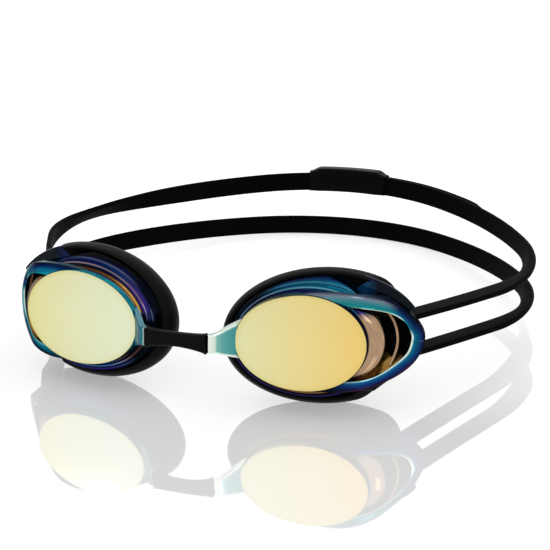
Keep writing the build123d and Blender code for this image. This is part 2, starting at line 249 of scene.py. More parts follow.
class Nodes:
    """Small helper for building one Principled material."""

    def __init__(self, name, **settings):
        self.material = bpy.data.materials.new(name)
        self.material.use_nodes = True
        self.tree = self.material.node_tree
        self.shader = self.tree.nodes["Principled BSDF"]
        for key, value in settings.items():
            self.shader.inputs[key.replace("_", " ")].default_value = value

    def node(self, kind, **settings):
        """New node of a kind."""
        item = self.tree.nodes.new(kind)
        for key, value in settings.items():
            setattr(item, key, value)
        return item

    def link(self, a, b):
        """Connects an output to an input."""
        self.tree.links.new(a, b)

    def feed(self, value, socket):
        """Sets an input to a fixed value or connects it to an output."""
        if isinstance(value, (int, float, tuple)):
            socket.default_value = value
        else:
            self.link(value, socket)

    def attribute(self, name):
        """One of the two shading values of the mesh: along or turn."""
        return self.node("ShaderNodeAttribute", attribute_name=name).outputs["Fac"]

    def ramp(self, fac, stops):
        """Colour ramp with (place, colour) stops."""
        ramp = self.node("ShaderNodeValToRGB")
        elements = ramp.color_ramp.elements
        while len(elements) < len(stops):
            elements.new(0.5)
        for element, (place, colour) in zip(elements, stops):
            element.position = place
            element.color = colour
        self.link(fac, ramp.inputs[0])
        return ramp.outputs[0]

    def mask(self, fac, stops):
        """Grey ramp with (place, brightness) stops."""
        return self.ramp(fac, [(place, (v, v, v, 1)) for place, v in stops])

    def mix(self, fac, a, b, blend="MIX"):
        """Blend of two colours, each a fixed value or an output."""
        mix = self.node("ShaderNodeMix", data_type="RGBA", blend_type=blend)
        self.feed(fac, mix.inputs[0])
        self.feed(a, mix.inputs[6])
        self.feed(b, mix.inputs[7])
        return mix.outputs[2]

    def math(self, operation, a, b):
        """Arithmetic on two numbers, each a fixed value or an output."""
        item = self.node("ShaderNodeMath", operation=operation)
        self.feed(a, item.inputs[0])
        self.feed(b, item.inputs[1])
        return item.outputs[0]

    def noise(self, scale, detail=3.0, stretch=(1, 1, 1)):
        """Noise in the object's own space."""
        place = self.node("ShaderNodeTexCoord").outputs["Object"]
        mapping = self.node("ShaderNodeMapping")
        mapping.inputs["Scale"].default_value = stretch
        self.link(place, mapping.inputs[0])
        return self.noise_at(mapping.outputs[0], scale, detail)

    def noise_at(self, vector, scale, detail):
        """Noise read at a vector."""
        noise = self.node("ShaderNodeTexNoise")
        noise.inputs["Scale"].default_value = scale
        noise.inputs["Detail"].default_value = detail
        self.link(vector, noise.inputs["Vector"])
        return noise.outputs[0]

    def object_axis(self, axis):
        """One coordinate in the object's own space."""
        place = self.node("ShaderNodeTexCoord").outputs["Object"]
        split = self.node("ShaderNodeSeparateXYZ")
        self.link(place, split.inputs[0])
        return split.outputs["XYZ".index(axis)]

    def span(self, value, source, target=(0.0, 1.0)):
        """Maps one range of values on another."""
        item = self.node("ShaderNodeMapRange")
        for socket, limit in zip(item.inputs[1:5], (*source, *target)):
            socket.default_value = limit
        self.link(value, item.inputs[0])
        return item.outputs[0]

    def bump(self, height, strength, distance):
        """Fine relief of the surface."""
        item = self.node("ShaderNodeBump")
        item.inputs["Strength"].default_value = strength
        item.inputs["Distance"].default_value = distance
        self.link(height, item.inputs["Height"])
        self.link(item.outputs[0], self.shader.inputs["Normal"])

    def colour(self, value):
        """Sets the base colour."""
        self.link(value, self.shader.inputs["Base Color"])

    def roughness(self, value, low, high):
        """Varies the roughness from low to high with a value of 0 to 1."""
        self.link(self.span(value, (0.0, 1.0), (low, high)), self.shader.inputs["Roughness"])


def gold_face(name, nasal, middle, temporal, low_x, high_x):
    """Mirror coating on a lens face: pale gold that deepens across the lens."""
    n = Nodes(name, Metallic=1.0, Roughness=0.22)
    cloud = n.noise(55, 2.0)
    across = n.span(n.object_axis("X"), (low_x, high_x))
    wavy = n.math("ADD", across, n.math("MULTIPLY", n.math("SUBTRACT", cloud, 0.5), 0.22))
    base = n.ramp(wavy, [(0.0, nasal), (0.5, middle), (1.0, temporal)])
    edge = n.mask(n.attribute("along"), ((0.0, 0), (0.9, 0), (1.0, 1)))
    n.colour(n.mix(n.math("MULTIPLY", edge, 0.35), base, srgb(208, 190, 96)))
    n.bump(n.noise(90, 1.0), 0.05, 0.0004)
    return n.material


def mirror_coating(name, metallic, rough):
    """Start of a mirror coating, with the tint that it takes on at a glancing view."""
    n = Nodes(name, Metallic=metallic, Roughness=rough)
    n.shader.inputs["Specular Tint"].default_value = (0.2, 0.26, 0.3, 1)
    return n


def film(name, stops, metallic=0.85, rough=0.13, by="turn"):
    """Interference coating on the slopes: colour bands along one shading value, partly the coating's own
    tint and partly painted reflections and painted highlights.
    """
    n = mirror_coating(name, metallic, rough)
    base = n.ramp(n.attribute(by), stops)
    streak = n.ramp(n.noise(420, 4.0, (1, 0.25, 1)),
                    [(0.3, (0.55, 0.55, 0.6, 1)), (0.7, (1.15, 1.15, 1.1, 1))])
    n.colour(n.mix(0.35, base, n.mix(1.0, base, streak, "MULTIPLY")))
    n.bump(n.noise(700, 3.0), 0.06, 0.0003)
    return n.material


def rubber(name, shade=0.0016, rough=0.42, specular=0.05, grain=1800, strength=0.1):
    """Black elastomer with a fine moulded grain."""
    n = Nodes(name, Roughness=rough)
    n.shader.inputs["Specular IOR Level"].default_value = specular
    grain_noise = n.noise(grain, 4.0)
    broad = n.noise(60, 2.0)
    dark, mid, light = ((shade * r, shade * g, shade * b, 1)
                        for r, g, b in ((0.7, 0.75, 0.8), (1.5, 1.55, 1.6), (2.2, 2.3, 2.3)))
    tone = n.mix(broad, dark, mid)
    n.colour(n.mix(n.math("MULTIPLY", grain_noise, 0.4), tone, light))
    n.roughness(grain_noise, rough - 0.08, rough + 0.12)
    n.bump(grain_noise, strength, 0.0001)
    return n.material


# -------------------------------- eyecup shell

# nasal reach, temporal reach and half height of the wall's outline halfway back and at the flange
WALL_MIDDLE, WALL_END = (23.2, 22.2, 16.0), (29.2, 14.7, 18.6)
WALL_START_Z, FLANGE_Z = -3.0, 3.5


def wall_point(turn, part, out=0.0):
    """Point on the side wall from the lens groove (0) to the flange (1)."""
    a = egg(LENS, LENS_NASAL + 0.1, LENS_TEMPORAL + 0.1, LENS_HALF_HEIGHT + 0.1, turn, WALL_START_Z)
    m = egg(MIDDLE, *WALL_MIDDLE, turn)
    c = egg(SEAL, *WALL_END, turn, FLANGE_Z)
    pull = 2 * m - (a + c) / 2
    point = a * (1 - part) ** 2 + pull * (2 * part * (1 - part)) + c * part ** 2
    outward = (LENS[1] * cos(turn) + LENS[2] * sin(turn)).normalized()
    return point + outward * out


def ridge(turn):
    """How much of the wall's stepped ridges shows at an angle; they fade out beside the strap."""
    return 1 - smooth((cos(turn) - 0.45) / 0.3)


def shell_rings():
    """Stations of the closed shell, each (ring, along value, material slot of the band before it)."""
    turns = [2 * pi * i / TURN_STEPS for i in range(TURN_STEPS)]
    rows = []

    def lens_row(scale, z, along, slot, grow=0.0):
        rows.append((egg_ring(LENS, LENS_NASAL * scale + grow, LENS_TEMPORAL * scale + grow,
                              LENS_HALF_HEIGHT * scale + grow, z), along, slot))

    for scale in (0.12, 0.3, 0.5, 0.68, 0.82, 0.92, 0.975, 1.0):
        lens_row(scale, LENS_DOME * (1 - scale ** 2), scale, 0)
    for z, along, slot, grow in ((-0.12, 0.0, 1, 0.10), (-0.5, 0.25, 1, 0.20), (-1.3, 0.6, 1, 0.30),
                                 (-2.1, 0.9, 1, 0.38), (-2.3, 1.0, 1, 0.30), (-2.5, 0.0, 2, -0.15),
                                 (-2.9, 0.5, 2, -0.20)):
        lens_row(1.0, z, along, slot, grow)
    rows.append(([wall_point(t, 0.0) for t in turns], 1.0, 2))
    for part, out in ((0.02, 0.25), (0.08, 0.3), (0.18, 0.3), (0.30, 0.3), (0.40, 0.3), (0.41, 0.62),
                      (0.425, 0.7), (0.52, 0.7), (0.60, 0.7), (0.61, 0.98), (0.625, 1.05), (0.74, 1.0),
                      (0.86, 0.7), (0.95, 0.35), (1.0, 0.3)):
        rows.append(([wall_point(t, part, 0.3 + (out - 0.3) * ridge(t)) for t in turns], part, 3))
    # flange lip, then the eye cavity up to the back of the lens
    rows.append((egg_ring(SEAL, 29.9, 15.4, 19.2, 2.9), 0.2, 4))
    rows.append((egg_ring(SEAL, 29.9, 15.4, 19.2, 1.9), 0.4, 4))
    rows.append((egg_ring(SEAL, 26.8, 13.1, 16.2, 1.9), 0.6, 5))
    rows.append(([egg(MIDDLE, 21.6, 18.6, 14.4, t, 0.2) for t in turns], 0.8, 5))
    lens_row(1.0, -2.4, 0.95, 5, -1.8)
    lens_row(1.0, -2.0, 1.0, 5, -2.4)
    for scale in (0.7, 0.4, 0.12):
        lens_row(scale, -2.0 + LENS_DOME * 0.6 * (1 - scale ** 2), scale, 5)
    return rows


def eyecup_shell(name, materials, mirror):
    """Lens face, rim, groove, stepped side wall, flange lip and eye cavity in one closed skin."""
    surface = Surface()
    previous = None
    for ring, along, slot in shell_rings():
        row = surface.add_ring(ring, along)
        if previous is None:
            surface.cap(row, slot)
        else:
            surface.join(previous, row, slot)
        previous = row
    surface.cap(previous, 5, flip=True)
    return surface.build(name, materials, mirror, sharp=35)


# -------------------------------- bow, rib, post and wings

# outlines of the bow in front view, temporal and up from the centre of the lens
BOW_OUTER = ((33.4, -2.6), (32.4, 2.4), (28.5, 7.8), (21.7, 12.4), (13, 14.9), (3, 15.3), (-7, 13.6),
             (-15, 9.4), (-18.5, 0), (-15, -9.4), (-5, -13.9), (8.5, -15.2), (19, -14.2), (26.5, -11.9),
             (31.4, -8.0))
BOW_INNER = ((29.9, -1.8), (29.7, 0.8), (28.2, 4.3), (24.3, 7.6), (19, 9.7), (13.0, 10.6), (4, 9.0),
             (-4, 6.0), (-8, 0), (-4, -6), (3, -10), (9.5, -11.2), (16.5, -11.6), (22.5, -10.0),
             (28.2, -6.0))


def bow_depth(s):
    """How far the bow's front surface is swept back behind the lens plane."""
    front, bend_start, radius, sweep = 1.0, 8.0, 20.0, radians(42)
    bend_end = bend_start + radius * sin(sweep)
    if s <= bend_start:
        return front
    if s <= bend_end:
        return front + radius - (radius ** 2 - (s - bend_start) ** 2) ** 0.5
    return front + radius * (1 - cos(sweep)) + (s - bend_end) * tan(sweep)


def bow(name, materials, mirror):
    """Swept ring plate outside the lens; its sides are deep where it meets the flange."""
    steps = 240
    middle = Vector((20.5, -1.0))
    outer = spline_loop(BOW_OUTER, steps)
    inner = spline_loop(BOW_INNER, steps)
    surface = Surface()
    rows = []
    for i in range(steps):
        o, a = outer[i], inner[i]
        # the outer side is deepest at the two roots, where the bow stands on the flange
        side = 2.3 + 4.0 * smooth((o.x - 15) / 9) * smooth((abs(o.y + a.y) / 2 - 7.2) / 2.0)
        # the inner side is deep below and above the opening, and its back edge leans in towards the middle
        inner_side = 2.3 + 3.6 * smooth((-a.y - 3.5) / 3.0) + 2.4 * smooth((a.y + 0.5) / 3.0)
        lean = 4.6 * smooth((-a.y - 3.5) / 3.5) * smooth((a.x - 12) / 5)
        lean += 2.9 * smooth((a.y + 0.5) / 3.0) * smooth((a.x - 22) / 4)
        inward = (middle - a.xy).normalized()
        # section: temporal, up, depth, turn value and material slot (0 front, 1 inner side, 2 the rest)
        section = []
        for depth in (inner_side, inner_side * 0.66, inner_side * 0.33, 0.4, 0.12):
            shift = inward * lean * max(0.0, depth - 0.4) / inner_side
            section.append((a.x + shift.x, a.y + shift.y, depth, -depth / 6, 1))
        for part in (0.04, 0.10, 0.2, 0.33, 0.47, 0.6, 0.73, 0.86, 0.95):
            p = a.lerp(o, part)
            section.append((p.x, p.y, -0.45 * sin(pi * part) ** 0.8, part, 0))
        for depth in (0.12, 0.45, side * 0.4, side * 0.8, side):
            section.append((o.x, o.y, depth, 1 + depth / 7, 2))
        for part, depth in ((0.85, side), (0.5, (side + inner_side) / 2), (0.15, inner_side + 0.1)):
            p = a.lerp(o, part)
            section.append((p.x, p.y, depth, 1.9, 2))
        points = [at(LENS, s, t, -bow_depth(s) - depth) for s, t, depth, _, _ in section]
        rows.append(surface.add_ring(points, i / steps, [turn for *_, turn, _ in section]))
    slots = [slot for *_, slot in section]
    for i, first in enumerate(rows):
        second = rows[(i + 1) % steps]
        for k, slot in enumerate(slots):
            j = (k + 1) % len(slots)
            surface.face((first[k], first[j], second[j], second[k]), slot)
    return surface.build(name, materials, mirror, sharp=50)


def swept(points, sections, across):
    """Skin through a section at each point of an open line; across is the sections' first direction."""
    surface = Surface()
    rows = []
    last = len(points) - 1
    for i, (p, section) in enumerate(zip(points, sections)):
        ahead = (points[min(i + 1, last)] - points[max(i - 1, 0)]).normalized()
        side = (across - ahead * across.dot(ahead)).normalized()
        up = ahead.cross(side)
        rows.append(surface.add_ring([p + side * x + up * y for x, y in section], i / last))
    surface.skin(rows)
    return surface


def rib(name, material, mirror):
    """Thin curved rib that spans the opening in front of the strap."""
    line = [(24.0, 7.9), (25.6, 4.2), (26.25, 0), (25.8, -4.2), (24.0, -8.6)]
    points = [at(LENS, p.x, p.y, -bow_depth(p.x) - 1.2) for p in spline_open(line, 40)]
    sections = [rounded_section(0.42, 0.5, 0.18)] * len(points)
    return swept(points, sections, LENS[1]).build(name, [material], mirror)


def post_axes():
    """Post centre with its outboard and forward directions."""
    outboard = Vector((cos(POST_HEADING), -sin(POST_HEADING), 0))
    ahead = Vector((-sin(POST_HEADING), -cos(POST_HEADING), 0))
    return Vector((*POST_CENTRE, STRAP_POST_Z)), outboard, ahead


def post(name, material, mirror):
    """Web that the strap turns round, from the cheek on the flange to the bow."""
    centre, outboard, _ = post_axes()
    # places along the post and its half width there: it widens at both roots
    stations = ((-5.4, 5.4), (-4.4, 4.6), (-3.4, 3.6), (0, 3.5), (3.2, 3.6), (4.4, 4.2), (5.3, 5.0))
    points = [centre + outboard * x for x, _ in stations]
    sections = [rounded_section(half_width, 0.9, 0.55) for _, half_width in stations]
    return swept(points, sections, Vector((0, 0, 1))).build(name, [material], mirror)


def wing(name, material, mirror, upper):
    """Flange wing beyond the gasket's cut end, reaching the tip of the bow."""
    surface = Surface()
    rows = []
    steps = 28
    start = 8.0
    sign, reach, edge = (1, 27.8, 7.5) if upper else (-1, 24.4, 9.0)
    for i in range(steps + 1):
        s = start + (reach - start) * i / steps
        # the outer edge follows an ellipse; on the lower wing it is cut back, level and then sloping
        top = 20.2 * (1 - min(1.0, s / 30.4) ** 2) ** 0.5
        if not upper:
            top = min(top, 16.9 - 0.72 * max(0.0, s - 14.5))
        low = edge + 1.6 * max(0.0, 13 - s)
        top = max(top, low + 0.3)
        sunk = 1.6 * (1 - smooth((s - start) / 9))
        outline = ((low, 3.4), (low, 1.9), (top - 0.25, 1.9), (top, 2.4), (top, 3.1), (top - 0.3, 3.5),
                   (top - 1.6, 3.62), ((low + top) / 2, 3.65))
        rows.append(surface.add_ring([at(SEAL, s, sign * t, z - sunk) for t, z in outline], i / steps))
    surface.skin(rows)
    return surface.build(name, [material], mirror)


# -------------------------------- nose tab and bridge

def nose_tab(name, material, mirror):
    """Blade from the nasal end of the lens to the bridge, narrowing with concave edges."""
    steps = 36
    line = spline_open([(21.0, 5.6, 21.3), (17.6, 3.6, 21.4), (14.4, -0.5, 21.35), (12.2, -3.4, 21.25),
                        (10.0, -4.9, 21.2)], steps)
    surface = Surface()
    rows = []
    for i, p in enumerate(line):
        u = i / steps
        half = 2.85 + 3.9 * (1 - smooth(u * 1.02)) ** 1.2
        thick = 1.1 + 0.2 * u
        ahead = (line[min(i + 1, steps)] - line[max(i - 1, 0)]).normalized()
        front = Vector((0, 0, 1)).cross(ahead).normalized()
        if front.y > 0:
            front = -front
        ring, turns = [], []
        across = [-1 + 2 * k / 12 for k in range(13)]
        outline = [(x * half, thick - 0.45 * abs(x) ** 8 - 0.35 * (1 - x * x)) for x in across]
        outline += [(-x * half, -thick + 0.45 * abs(x) ** 8) for x in across]
        for x, y in outline:
            ring.append(p + Vector((0, 0, 1)) * x + front * y)
            turns.append(abs(x) / half)
        rows.append(surface.add_ring(ring, u, turns))
    surface.skin(rows)
    return surface.build(name, [material], mirror, sharp=50)


def nose_bridge(name, material):
    """Flexible bridge between the tabs, thinner and slightly raised in the middle."""
    surface = Surface()
    rows = []
    steps = 48
    half_span = 9.7
    for i in range(steps + 1):
        u = i / steps
        x = half_span - 2 * half_span * u
        bend = (x / half_span) ** 2
        middle = 1 - bend
        centre = Vector((x, -5.85 + 0.85 * bend ** 1.2, 21.2 + 0.65 * middle))
        lip = exp(-((1 - abs(2 * u - 1)) / 0.07) ** 2)
        half = 2.2 + 0.75 * bend + 0.2 * lip
        thick = 1.35 + 0.2 * bend + 0.12 * lip
        front = Vector((0.13 * x / half_span, -1, 0)).normalized()
        ring = [centre + Vector((0, 0, 1)) * a + front * b for a, b in rounded_section(half, thick, 0.8, 5)]
        rows.append(surface.add_ring(ring, u))
    surface.skin(rows)
    return surface.build(name, [material], sharp=45)


# -------------------------------- gasket

# stations round the section: reach, half height and distance in front of the seal's plane
GASKET_PROFILE = ((29.2, 18.6, 3.35), (29.5, 18.9, 3.7), (30.0, 19.35, 3.7), (30.6, 19.85, 3.2),
                  (31.1, 20.2, 2.2), (31.7, 20.75, 0.9), (31.85, 20.95, -0.4), (31.75, 20.85, -1.6),
                  (31.35, 20.5, -2.9), (30.6, 19.8, -4.2), (29.4, 18.8, -5.5), (28.2, 17.8, -6.4),
                  (27.3, 17.0, -6.7), (26.6, 16.3, -6.3), (26.2, 15.9, -5.2), (26.1, 15.8, -3.0),
                  (26.3, 15.9, 0.0), (26.6, 16.1, 1.6), (27.6, 17.0, 2.2))
# stations on its inner side and how far they reach at the temporal end
GASKET_INNER, GASKET_INNER_REACH = range(12, 19), 14.4
# where the temporal end is cut off, outboard of the post's centre
GASKET_CUT = -5.9


def gasket(name, material, mirror):
    """Soft sealing ring; its temporal end is drawn in beside the strap post."""
    centre, outboard, _ = post_axes()
    surface = Surface()
    rows = []
    for step, (wide, high, z) in enumerate(GASKET_PROFILE):
        temporal = GASKET_INNER_REACH if step in GASKET_INNER else wide
        ring = []
        for i in range(TURN_STEPS):
            turn = 2 * pi * i / TURN_STEPS
            point = egg(SEAL, wide, temporal, high, turn, z)
            # what lies beyond the cut is pushed back to it, with a soft corner
            over = (point - centre).dot(outboard) - GASKET_CUT
            ring.append(point - outboard * 0.5 * (over + (over ** 2 + 2.0) ** 0.5))
        rows.append(surface.add_ring(ring, step / len(GASKET_PROFILE)))
    for i, row in enumerate(rows):
        surface.join(row, rows[(i + 1) % len(rows)])
    return surface.build(name, [material], mirror, sharp=60)


# -------------------------------- strap and clip

def band_z(y, side, mirror):
    """Height of the upper (side 1) or lower (-1) band at depth y, on the right (mirror 1) or left (-1)."""
    part = max(0.0, (y - POST_CENTRE[1]) / (STRAP_BACK_Y - POST_CENTRE[1]))
    start = STRAP_POST_Z + side * STRAP_GAP / 2
    lift = STRAP_LEFT_LIFT * sin(pi * part) ** 2 if side == 1 and mirror == -1 else 0.0
    return start + (STRAP_BACK_Z[side] - start) * part ** STRAP_CURVE[side] + lift


def plan_path():
    """Plan of the right half of the strap: (x, y, heading, length) from the back to the post."""
    x, y, heading, run = 0.0, STRAP_BACK_Y, 0.0, 0.0
    points = [(x, y, heading, run)]
    for radius, angle in STRAP_ARCS:
        steps = round(angle / 1.5)
        cx, cy = x - radius * sin(heading), y - radius * cos(heading)
        for _ in range(steps):
            heading += radians(angle) / steps
            run += radius * radians(angle) / steps
            points.append((cx + radius * sin(heading), cy + radius * cos(heading), heading, run))
        x, y = points[-1][:2]
    rest = hypot(x - POST_CENTRE[0], y - POST_CENTRE[1])
    steps = 24
    for k in range(1, steps + 1):
        part = k / steps
        points.append((x + (POST_CENTRE[0] - x) * part, y + (POST_CENTRE[1] - y) * part, heading,
                       run + rest * part))
    return points


def band_lean(run, side, mirror):
    """Lean of the band in radians, a given length from the back."""
    stops = LEAN[mirror]
    lean = sum((after - before) * smooth((run - start) / (end - start))
               for (start, before), (end, after) in zip(stops, stops[1:]))
    # the upper band on the right leans outward, so it turns the other way
    return radians(-lean if side == 1 and mirror == 1 else lean)


def band_station(point, side, mirror, outset=0.0):
    """Centre, width direction and outward direction of the band at a plan point."""
    x, y, heading, run = point
    twist = band_lean(run, side, mirror)
    out = Vector((sin(heading) * mirror, cos(heading), 0))
    up = Vector((0, 0, side))
    across = up * cos(twist) - out * sin(twist)
    outward = out * cos(twist) + up * sin(twist)
    return Vector((x * mirror, y, band_z(y, side, mirror))) + out * outset, across, outward


def turned_over(station):
    """The same station with the strip's two faces swapped."""
    point, across, outward = station
    return point, -across, -outward


def post_turn_stations(mirror):
    """Stations of the half turn round one post, from the upper band to the lower."""
    centre, outboard, ahead = post_axes()
    radius = STRAP_GAP / 2
    steps = 24
    stations = []
    for k in range(1, steps):
        a = pi * k / steps
        outward = ahead * sin(a) + Vector((0, 0, cos(a)))
        stations.append((centre + outward * radius, -outboard, outward))
    if mirror < 0:
        flip = Matrix.Scale(-1, 4, (1, 0, 0))
        stations = [(flip @ p, flip @ a, flip @ o) for p, a, o in stations]
    return stations


STRAP_SECTION = rounded_section(STRAP_WIDTH / 2, STRAP_THICKNESS / 2, 0.55, 5)


def band_surface(stations, closed, tip=0):
    """Mesh through band stations; tip rounds the far end over that many stations."""
    surface = Surface()
    rows = []
    n = len(stations)
    for i, (point, across, outward) in enumerate(stations):
        narrow = 1.0
        if tip and i >= n - tip:
            narrow = max(0.12, (1 - ((i - (n - tip)) / (tip - 1)) ** 2.2) ** 0.5)
        ring = [point + across * x * narrow + outward * y for x, y in STRAP_SECTION]
        rows.append(surface.add_ring(ring, i / n))
    if closed:
        # the first station has its faces swapped against the last, so its points sit half a section on
        half = len(STRAP_SECTION) // 2
        for first, second in zip(rows, rows[1:] + [rows[0][half:] + rows[0][:half]]):
            surface.join(first, second)
    else:
        surface.skin(rows)
    return surface


def head_strap(material):
    """One continuous band round both posts, and its free tail under the clip."""
    path = plan_path()
    loop = [turned_over(band_station(p, 1, 1)) for p in path]
    loop += post_turn_stations(1)
    loop += [band_station(p, -1, 1) for p in reversed(path)]
    loop += [band_station(p, -1, -1) for p in path[1:]]
    loop += reversed(post_turn_stations(-1))
    loop += [band_station(p, 1, -1) for p in reversed(path[1:])]
    band = band_surface(loop, True).build("strap_band", [material], sharp=50)
    outset = STRAP_THICKNESS + 0.05
    stub = [band_station(p, 1, -1, outset) for p in reversed(path) if 0 < p[3] <= TAIL_STUB]
    tail = [band_station(p, 1, 1, outset) for p in path if p[3] <= TAIL_END]
    return band, band_surface(stub + tail, False, tip=4).build("strap_tail", [material], sharp=50)


def strap_clip(material):
    """Adjuster over the upper band and its tail, curved like the back of the strap."""
    radius = STRAP_ARCS[0][0]
    centre_y = STRAP_BACK_Y - radius
    rise = STRAP_BACK_Z[1] - STRAP_POST_Z - STRAP_GAP / 2
    slope = rise * STRAP_CURVE[1] / (STRAP_BACK_Y - POST_CENTRE[1])
    surface = Surface()
    rows = []
    steps = 60
    rib_height = 0.28
    for i in range(steps + 1):
        u = i / steps
        run = CLIP_START + (CLIP_END - CLIP_START) * u
        a = run / radius
        out = Vector((sin(a), cos(a), 0))
        y = centre_y + radius * cos(a)
        base = Vector((radius * sin(a), y, STRAP_BACK_Z[1] + slope * (y - STRAP_BACK_Y)))
        # the body swells from its thin ends, and five soft ribs cross the middle of its outer face
        ramp = smooth(min(u, 1 - u) / 0.14)
        top = STRAP_WIDTH / 2 + 0.6 + 1.35 * ramp
        low = -STRAP_WIDTH / 2 - 0.15
        inner = -1.55 - 1.05 * ramp
        outer = 3.45 + 0.85 * ramp
        grip = rib_height * (0.5 + 0.5 * cos(2 * pi * (u - 0.5) * 9)) if abs(u - 0.5) < 0.28 else 0.0
        corners = rounded_section((top - low) / 2, (outer - inner) / 2, 1.0, 5)
        mid_z, mid_r = (top + low) / 2, (outer + inner) / 2
        ring = []
        for x, r in corners:
            push = grip if r > 0 and abs(x) < (top - low) / 2 - 1.2 else 0.0
            ring.append(base + Vector((0, 0, 1)) * (mid_z + x) + out * (mid_r + r + push))
        rows.append(surface.add_ring(ring, u))
    surface.skin(rows)
    return surface.build("clip_body", [material], sharp=50)


# -------------------------------- materials of this pair of goggles

# the next two colours are painted highlights, for bright lines along edges
EDGE_HIGHLIGHT = srgb(226, 240, 222)
CREAM_HIGHLIGHT = srgb(222, 226, 196)
TEAL = srgb(24, 128, 140)
PALE_TEAL = srgb(92, 165, 165)
NAVY = srgb(12, 26, 62)
PURPLE = srgb(52, 38, 112)
INK = srgb(8, 12, 20)
TAN = srgb(176, 145, 116)
BROWN = srgb(116, 80, 40)
# colour of a painted reflection in the concave groove between rim and wall
AMBER_REFLECTION = srgb(206, 160, 78)


def cup_materials(side):
    """Coatings of one eyecup, in the order of the shell's slots."""
    if side == "right":
        face = gold_face("gold_right", srgb(221, 219, 168), srgb(229, 211, 144), srgb(232, 199, 116),
                         0.017, 0.056)
        # across the wall, the narrow pale stops near 0.41 and 0.62, here and in the stretches, are painted
        # highlight lines along the two ridge steps
        wall = coat("wall_right", "along", "turn",
                    [(0.0, INK), (0.12, srgb(40, 32, 90)), (0.2, srgb(14, 56, 92)),
                     (0.38, srgb(12, 68, 98)), (0.405, srgb(90, 150, 166)), (0.43, srgb(14, 84, 110)),
                     (0.6, srgb(13, 92, 116)), (0.62, srgb(70, 120, 140)), (0.66, srgb(13, 88, 112)),
                     (0.92, srgb(13, 66, 94)), (1.0, NAVY)],
                    [([(0.0, BROWN), (0.1, srgb(70, 44, 30)), (0.2, INK), (0.35, NAVY),
                       (0.41, srgb(80, 100, 130)), (0.44, srgb(14, 40, 66)), (0.6, srgb(14, 26, 40)),
                       (1.0, INK)],
                      ((0.3, 0.0), (0.36, 1.0), (0.46, 1.0), (0.5, 0.0))),
                     ([(0.0, INK), (0.2, INK), (0.41, srgb(120, 90, 60)), (0.44, INK),
                       (0.6, srgb(18, 16, 44)), (0.62, srgb(60, 50, 110)), (0.7, INK), (1.0, INK)],
                      ((0.47, 0.0), (0.54, 1.0), (0.82, 1.0), (0.86, 0.0))),
                     ([(0.0, TAN), (0.3, TAN), (0.78, srgb(158, 128, 100)), (0.84, INK), (1.0, INK)],
                      ((0.0, 1.0), (0.075, 1.0), (0.1, 0.0), (0.86, 0.0), (0.9, 1.0), (1.0, 1.0)))])
        # the brown to amber band in the groove is a painted reflection
        groove = [(0.0, INK), (0.2, INK), (0.3, BROWN), (0.42, AMBER_REFLECTION), (0.5, INK), (1.0, INK)]
        # the cream stops halfway round the rim are a painted highlight
        rim = [(0.0, NAVY), (0.12, NAVY), (0.2, srgb(60, 96, 90)), (0.3, srgb(80, 80, 60)),
               (0.42, srgb(200, 205, 160)), (0.5, CREAM_HIGHLIGHT), (0.6, srgb(150, 160, 120)),
               (0.72, srgb(110, 110, 60)), (0.8, INK), (1.0, NAVY)]
        lip = [(0.0, INK), (0.05, NAVY), (0.1, srgb(14, 70, 100)), (0.24, srgb(14, 70, 100)), (0.3, NAVY),
               (1.0, INK)]
    else:
        face = gold_face("gold_left", srgb(222, 229, 198), srgb(223, 225, 184), srgb(221, 215, 152),
                         -0.017, -0.056)
        # across the wall, the narrow pale stops near 0.41 and 0.63, here and in the stretches, are painted
        # highlight lines along the two ridge steps
        wall = coat("wall_left", "along", "turn",
                    [(0.0, INK), (0.1, BROWN), (0.18, srgb(100, 70, 36)), (0.24, INK), (0.32, NAVY),
                     (0.4, srgb(20, 40, 84)), (0.41, srgb(150, 130, 120)), (0.44, srgb(16, 34, 80)),
                     (0.6, srgb(22, 48, 92)), (0.63, srgb(90, 90, 110)), (0.68, NAVY), (0.9, INK),
                     (1.0, INK)],
                    # the amber band next to the lens is the groove's painted reflection
                    [([(0.0, INK), (0.06, AMBER_REFLECTION), (0.16, srgb(214, 168, 84)), (0.22, BROWN), (0.27, INK),
                       (0.36, PURPLE), (0.40, srgb(58, 52, 126)), (0.42, srgb(150, 120, 120)),
                       (0.45, srgb(58, 48, 122)), (0.6, srgb(40, 34, 96)), (0.64, INK), (1.0, INK)],
                      ((0.33, 0.0), (0.39, 1.0), (0.44, 1.0), (0.47, 0.0))),
                     ([(0.0, INK), (0.3, INK), (0.42, srgb(70, 40, 40)), (0.46, INK), (1.0, INK)],
                      ((0.46, 0.0), (0.49, 1.0), (0.6, 1.0), (0.64, 0.0))),
                     ([(0.0, INK), (0.2, srgb(17, 77, 116)), (0.4, srgb(16, 50, 110)),
                       (0.42, srgb(80, 130, 160)), (0.45, srgb(20, 36, 90)), (0.7, PURPLE), (1.0, INK)],
                      ((0.62, 0.0), (0.68, 1.0), (0.84, 1.0), (0.88, 0.0))),
                     ([(0.0, TAN), (0.5, srgb(150, 124, 104)), (0.56, INK), (1.0, INK)],
                      ((0.0, 1.0), (0.08, 1.0), (0.11, 0.0), (0.88, 0.0), (0.92, 1.0), (1.0, 1.0)))])
        # the brown to amber band in the groove is a painted reflection
        groove = [(0.0, TAN), (0.2, BROWN), (0.3, BROWN), (0.36, AMBER_REFLECTION), (0.41, srgb(236, 200, 120)),
                  (0.45, INK), (0.6, INK), (0.75, BROWN), (1.0, INK)]
        rim = [(0.0, INK), (0.12, TEAL), (0.25, TEAL), (0.38, srgb(18, 104, 124)), (0.5, TEAL),
               (0.6, srgb(20, 60, 60)), (0.72, TEAL), (0.85, srgb(70, 140, 130)), (1.0, INK)]
        lip = [(0.0, INK), (0.5, NAVY), (1.0, INK)]
    inside = film("inside_" + side, [(0.0, srgb(70, 54, 40)), (0.5, srgb(44, 40, 60)),
                                     (1.0, srgb(92, 72, 44))], by="along", metallic=0.35, rough=0.2)
    return [face, film("rim_" + side, rim), film("groove_" + side, groove), wall,
            film("lip_" + side, lip), inside]


